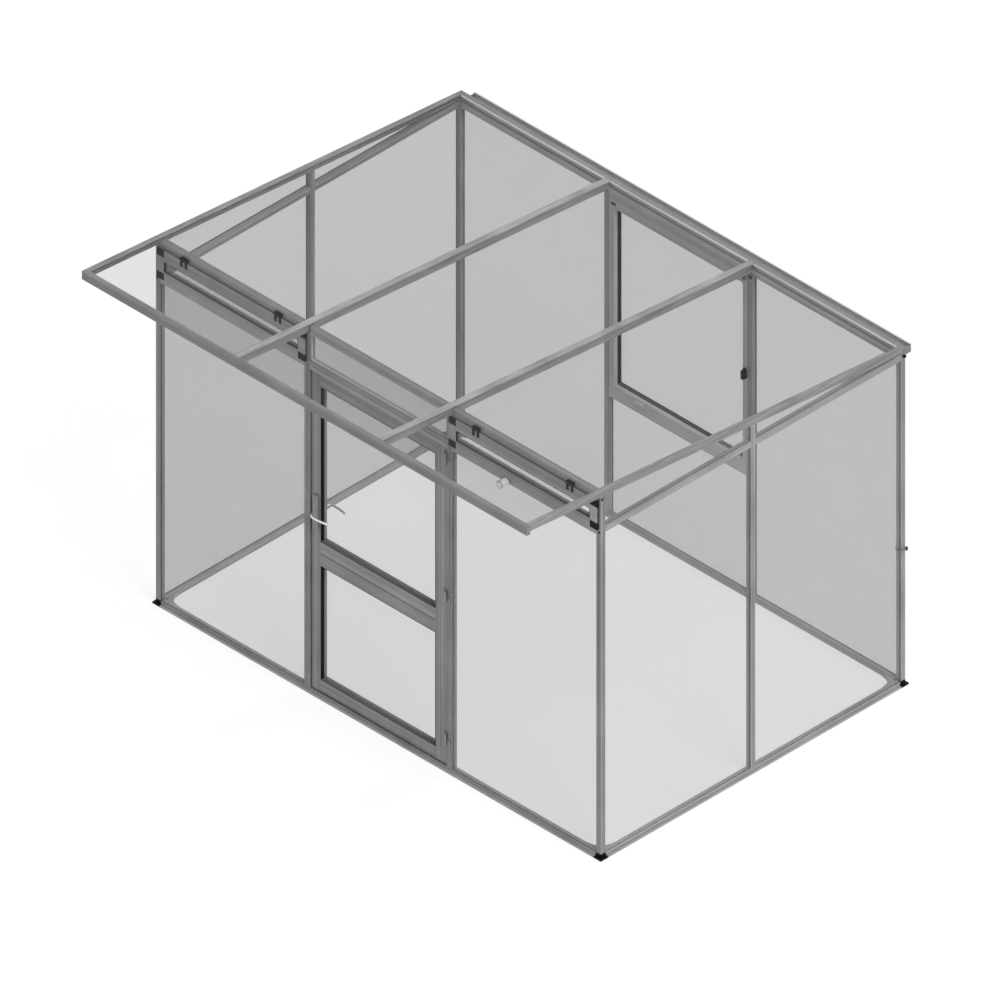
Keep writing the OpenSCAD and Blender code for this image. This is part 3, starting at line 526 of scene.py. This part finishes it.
def addScrews(s):
    front, back = (0, -1, 0), (0, 1, 0)
    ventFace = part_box("vent_corners")[0][1]
    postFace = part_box("door_left_post")[0][1]
    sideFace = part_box("front_right_post")[1][0]
    capX, capZ = s["frontCapAt"]
    black, grey = bmesh.new(), bmesh.new()
    for side in (-1, 1):
        for x in s["ventAcrossMm"]:
            for z in s["ventUpMm"]:
                addTurned(black, s["pan"], outward((side * x * mm, ventFace, z * mm), front))
        addTurned(black, s["cap"], outward((side * capX, postFace, capZ), front))
        addTurned(black, s["cap"], outward((side * sideFace, *s["sideCapAt"]), (side, 0, 0)))
        for z in s["postUpMm"]:
            addTurned(grey, s["pan"], outward((side * s["postAcrossMm"] * mm, postFace, z * mm), front))
    setPiece("vent_screws", black, "plastic", "frame")
    setPiece("door_post_screws", grey, "satin", "frame")

    low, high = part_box("door_handle_plates")
    mesh = bmesh.new()
    x = (low[0] + high[0]) / 2
    for end in (-1, 1):
        z = (low[2] + high[2]) / 2 + end * s["plateApartMm"] * mm
        addTurned(mesh, s["pan"], outward((x, low[1], z), front))
        addTurned(mesh, s["pan"], outward((x, high[1], z), back))
    setPiece("handle_plate_screws", mesh, "satin", "door")

    onDoor, onPost = bmesh.new(), bmesh.new()
    for z in s["hingeUpMm"]:
        for row in s["hingeRowMm"]:
            addTurned(onDoor, s["low"], outward((*s["doorLeafAt"], (z + row) * mm), front))
            addTurned(onPost, s["low"], outward((*s["postLeafAt"], (z - row) * mm), front))
    setPiece("hinge_screws_door", onDoor, "satin", "door")
    setPiece("hinge_screws_post", onPost, "satin", "frame")


# A round stud under the right-hand vent, with a dark ring near its tip
stud = {
    "studAt": (0.856, 1.8695),
    "steps": 40,
    "rings": [(14, -sinkMm, 0), (14, 2.6, 0), (15, 4, 0), (17.5, 7, 0), (19, 11, 0), (19.5, 16, 0),
              (19.5, 56, 0), (18, 60.5, 0), (14.5, 62.6, 0), (11, 63, 0), (10, 61.8, 0)],
    "band": [(19.1, 52.5, 0), (20.1, 53.2, 0), (20.3, 55, 0), (20.1, 56.8, 0), (19.1, 57.5, 0)],
}


def addStud(s):
    x, z = s["studAt"]
    place = outward((x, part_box("front_transom")[0][1], z), (0, -1, 0))
    mesh = bmesh.new()
    addTurned(mesh, s["rings"], place, s["steps"])
    setPiece("vent_stud", mesh, "pvc", "frame")
    mesh = bmesh.new()
    addTurned(mesh, s["band"], place, s["steps"], closed=True)
    setPiece("vent_stud_band", mesh, "rubber", "frame")


# A clamp round the back right-hand post, in two halves that leave the panes free, and a cap above it
clamp = {
    "up": 0.778,
    "radiusMm": 26,
    "steps": 24,            # along the arc of each half
    "highMm": 8,
    "roundMm": 0.8,
    "hugMm": 15.15,         # just outside the post's faces
    "paneMm": (6.2, 12.0),  # the halves end on either side of the panes
    "screw": [(6, 24, 0), (9.5, 25, 0), (10, 27, 0), (10, 31, 0), (9, 33, 0), (5, 33.6, 6), (5, 31, 6)],
    "cap": [(8.5, -sinkMm, 0), (8.5, 7, 0), (7.8, 9.5, 0), (5.6, 11.1, 0), (2.3, 11.6, 0)],
    "capAt": (1.211, 1.887),
}


def addClamp(s):
    low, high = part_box("back_right_post")
    axis = ((low[0] + high[0]) / 2, (low[1] + high[1]) / 2)
    place = Matrix.Translation((*axis, s["up"]))
    radius, hug, steps = s["radiusMm"], s["hugMm"], s["steps"]
    mesh = bmesh.new()
    for edge, turn in ((s["paneMm"][1], 1), (s["paneMm"][0], -1)):
        first = math.atan2(-math.sqrt(radius ** 2 - edge ** 2), edge)
        sweep = math.pi / 2 - 2 * first if turn > 0 else 1.5 * math.pi + 2 * first
        angles = [first + turn * sweep * i / steps for i in range(steps + 1)]
        outline = [(radius * math.cos(angle), radius * math.sin(angle)) for angle in angles]
        corner = hug if turn > 0 else -hug
        outline += [(-hug, edge), (-hug, corner), (corner, corner), (corner, -hug), (edge, -hug)]
        outline = [p for i, p in enumerate(outline) if p != outline[i - 1]]    # no point twice
        addPrism(mesh, outline, -s["highMm"] / 2, s["highMm"] / 2, place, s["roundMm"])
    setPiece("post_clamp", mesh, "satin", "frame")
    mesh = bmesh.new()
    addTurned(mesh, s["screw"], outward((*axis, s["up"]), (1, 1, 0)))
    addTurned(mesh, s["cap"], outward((high[0], *s["capAt"]), (1, 0, 0)))
    setPiece("post_caps", mesh, "plastic", "frame")


# Fittings of the back window: an eye with two clips on the right-hand post, a plug and a pale catch
windowSet = {
    "eyeAt": (0.475, 1.853),
    "eye": [(20, -2.6, 0), (20, 2.6, 0), (19, 3.4, 0), (11, 3.4, 0), (10, 2.6, 0), (10, -2.6, 0),
            (11, -3.4, 0), (19, -3.4, 0)],
    "steps": 40,
    "eyeOutMm": 19.7,
    "clipMm": (9, 14, 11),
    "clipOutMm": 15,            # from the middle of the eye
    "clipTurnsDeg": (40, 225),
    "plugAt": (-0.429, 1.8186),
    "plugMm": (32, 10, 2.5),
    "catchAt": (-0.255, 0.7612),
    "catchMm": (46, 12, 4),
    "roundMm": {"clip": 1.5, "plug": 1.2, "catch": 1.6},
}


def addWindowSet(s):
    front, face = (0, -1, 0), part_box("window_frame")[0][1]
    middle = Vector((s["eyeAt"][0], face - s["eyeOutMm"] * mm, s["eyeAt"][1]))
    mesh = bmesh.new()
    addTurned(mesh, s["eye"], Matrix.Translation(middle), s["steps"], closed=True)
    setPiece("window_eye", mesh, "satin", "frame")
    wide, deep, high = s["clipMm"]
    shifted = [(x + s["clipOutMm"], y) for x, y in plate(deep, wide)]
    mesh = bmesh.new()
    for turn in s["clipTurnsDeg"]:
        place = Matrix.Translation(middle) @ Matrix.Rotation(math.radians(turn), 4, "Z")
        addPrism(mesh, shifted, -high / 2, high / 2, place, s["roundMm"]["clip"])
    wide, high, deep = s["plugMm"]
    place = outward((s["plugAt"][0], face, s["plugAt"][1]), front)
    addPrism(mesh, plate(wide, high), -sinkMm, deep, place, s["roundMm"]["plug"])
    setPiece("window_clips", mesh, "plastic", "frame")
    wide, high, deep = s["catchMm"]
    place = outward((s["catchAt"][0], face, s["catchAt"][1]), front)
    mesh = bmesh.new()
    addPrism(mesh, plate(wide, high), -sinkMm, deep, place, s["roundMm"]["catch"])
    setPiece("window_catch", mesh, "pvc", "frame")


# Pale sealing strips on the roof panes along the back bar, one between each pair of roof bars
seal = {
    "edgeAt": (1.227, 1.930),   # the roof's back edge
    "fallM": (2.513, 0.220),    # run and fall of the whole roof
    "barMm": 27,
    "paneDownMm": 6.35,
    "section": [(-0.2, 0), (10, 0), (9.6, 1.8), (6.5, 4.4), (-0.2, 5.2)],
    "roundMm": 0.5,
    "baysMm": ((-1442, -494), (-456, 456), (494, 1442)),
}


def addSeal(s):
    pitch = math.atan2(s["fallM"][1], s["fallM"][0])
    uphill = Vector((0, -math.cos(pitch), math.sin(pitch)))
    above = Vector((0, math.sin(pitch), math.cos(pitch)))
    start = Vector((0, *s["edgeAt"])) + uphill * s["barMm"] * mm - above * s["paneDownMm"] * mm
    place = Matrix.Translation(start) @ Matrix((uphill, above, (-1, 0, 0))).transposed().to_4x4()
    mesh = bmesh.new()
    for low, high in s["baysMm"]:
        addPrism(mesh, s["section"], low, high, place, s["roundMm"])
    setPiece("roof_seal_strips", mesh, "pvcStrip", "frame")


# Brackets in the four floor corners, with a hollow round edge towards the room
bracket = {
    "reachMm": 88,
    "tipMm": 3,
    "cutMm": 16,        # cut off towards the corner, where the foot is
    "gapMm": 0.5,       # to the sills
    "upMm": (0.3, 25.5),
    "steps": 14,
    "roundMm": 0.6,
}


def addBrackets(s):
    reach, gap = s["reachMm"], s["gapMm"]
    turns = [math.pi * (1 + 0.5 * i / s["steps"]) for i in range(s["steps"] + 1)]
    hollow = reach - s["tipMm"]
    outline = [(reach + hollow * math.cos(turn), reach + hollow * math.sin(turn)) for turn in turns]
    outline += [(reach, gap), (s["cutMm"], gap), (gap, s["cutMm"]), (gap, reach)]
    mesh = bmesh.new()
    for x, inX in ((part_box("left_sill")[1][0], 1), (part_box("right_sill")[0][0], -1)):
        for y, inY in ((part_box("front_sill")[1][1], 1), (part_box("back_sill")[0][1], -1)):
            corner = [(inX * p[0], inY * p[1]) for p in outline]
            addPrism(mesh, corner, *s["upMm"], Matrix.Translation((x, y, 0)), s["roundMm"])
    setPiece("sill_brackets", mesh, "paleX", "frame")


addScrews(screws)
addStud(stud)
addClamp(clamp)
addWindowSet(windowSet)
addSeal(seal)
addBrackets(bracket)
print("fittings added")


# Studio: a white ground that still takes the shadow, a soft key from the upper right and a fill
# from behind
studio = {
    "white": "#FFFFFF",
    "groundSizeM": 60,
    "groundGlow": 0.8,      # share of plain white in the ground as the camera sees it
    "ambient": 0.36,
    "key": {"from": (0.66, -0.13, 0.74), "level": 0.85, "spreadDeg": 30},
    "fill": {"from": (0.10, 0.85, 0.52), "level": 0.3, "spreadDeg": 30},
}


def seenDirectly(tree):
    # 1 for rays from the camera, from shiny metal and through glass
    rays = addNode(tree, "ShaderNodeLightPath", {}, {})
    both = addNode(tree, "ShaderNodeMath", {"operation": "MAXIMUM"},
                   {0: rays.outputs["Is Camera Ray"], 1: rays.outputs["Is Glossy Ray"]})
    return addNode(tree, "ShaderNodeMath", {"operation": "MAXIMUM"},
                   {0: both.outputs[0], 1: rays.outputs["Is Transmission Ray"]})


def addGround(s):
    material, tree = newMaterial("white_studio_ground")
    seen = seenDirectly(tree)
    glow = addNode(tree, "ShaderNodeMath", {"operation": "MULTIPLY", 1: s["groundGlow"]},
                   {0: seen.outputs[0]})
    matt = addNode(tree, "ShaderNodeBsdfDiffuse", {"Color": toLinear(s["white"])}, {})
    white = addNode(tree, "ShaderNodeEmission", {"Color": toLinear(s["white"])}, {})
    ground = addNode(tree, "ShaderNodeMixShader", {},
                     {0: glow.outputs[0], 1: matt.outputs[0], 2: white.outputs[0]})
    closeMaterial(material, tree, ground)
    corners = [(x, y, 0) for x, y in plate(s["groundSizeM"], s["groundSizeM"])]
    mesh = bpy.data.meshes.new("studio_ground")
    mesh.from_pydata(corners, [], [(0, 1, 2, 3)])
    mesh.materials.append(material)
    floor = bpy.data.objects.new("studio_ground", mesh)
    bpy.context.collection.objects.link(floor)


def addSky(s):
    world = bpy.data.worlds.new("studio_sky")
    world.use_nodes = True
    tree = world.node_tree
    tree.nodes.clear()
    seen = seenDirectly(tree)
    level = addNode(tree, "ShaderNodeMapRange", {"To Min": s["ambient"], "To Max": 1.0},
                    {"Value": seen.outputs[0]})
    sky = addNode(tree, "ShaderNodeBackground", {"Color": toLinear(s["white"])},
                  {"Strength": level.outputs[0]})
    addNode(tree, "ShaderNodeOutputWorld", {}, {"Surface": sky.outputs[0]})
    bpy.context.scene.world = world


def addLamp(name, s):
    lamp = bpy.data.lights.new(name, "SUN")
    lamp.energy = s["level"] * math.pi    # at level 1 a white face that looks at the lamp is white
    lamp.angle = math.radians(s["spreadDeg"])
    holder = bpy.data.objects.new(name, lamp)
    holder.rotation_mode = "QUATERNION"
    holder.rotation_quaternion = Vector(s["from"]).to_track_quat("Z", "Y")
    bpy.context.collection.objects.link(holder)


addGround(studio)
addSky(studio)
addLamp("key_lamp", studio["key"])
addLamp("fill_lamp", studio["fill"])
print("studio set")


# Camera: a true isometric view from the front right, without perspective
camera = {
    "azimuthDeg": 45,
    "elevationDeg": math.degrees(math.asin(1 / math.sqrt(3))),
    "lookAt": (0.0048, 0.0048, 0.9292),
    "distance": 14,
    "clipEnd": 42,
    "viewWidth": 4.682,     # width of the picture in metres
}


def addCamera(s):
    turn, rise = math.radians(s["azimuthDeg"]), math.radians(s["elevationDeg"])
    back = Vector((math.sin(turn) * math.cos(rise), -math.cos(turn) * math.cos(rise), math.sin(rise)))
    data = bpy.data.cameras.new("isometric_camera")
    data.type = "ORTHO"
    data.ortho_scale = s["viewWidth"]
    data.clip_end = s["clipEnd"]
    holder = bpy.data.objects.new("isometric_camera", data)
    holder.location = Vector(s["lookAt"]) + back * s["distance"]
    holder.rotation_mode = "QUATERNION"
    holder.rotation_quaternion = (-back).to_track_quat("-Z", "Y")
    bpy.context.collection.objects.link(holder)
    bpy.context.scene.camera = holder


addCamera(camera)
scene = bpy.context.scene
scene.view_settings.view_transform = "Standard"
scene.cycles.transparent_max_bounces = 32    # a line of sight passes up to eight panes with two faces each
scene.cycles.max_bounces = 6
scene.cycles.diffuse_bounces = 2
scene.cycles.glossy_bounces = 3
print("camera set")
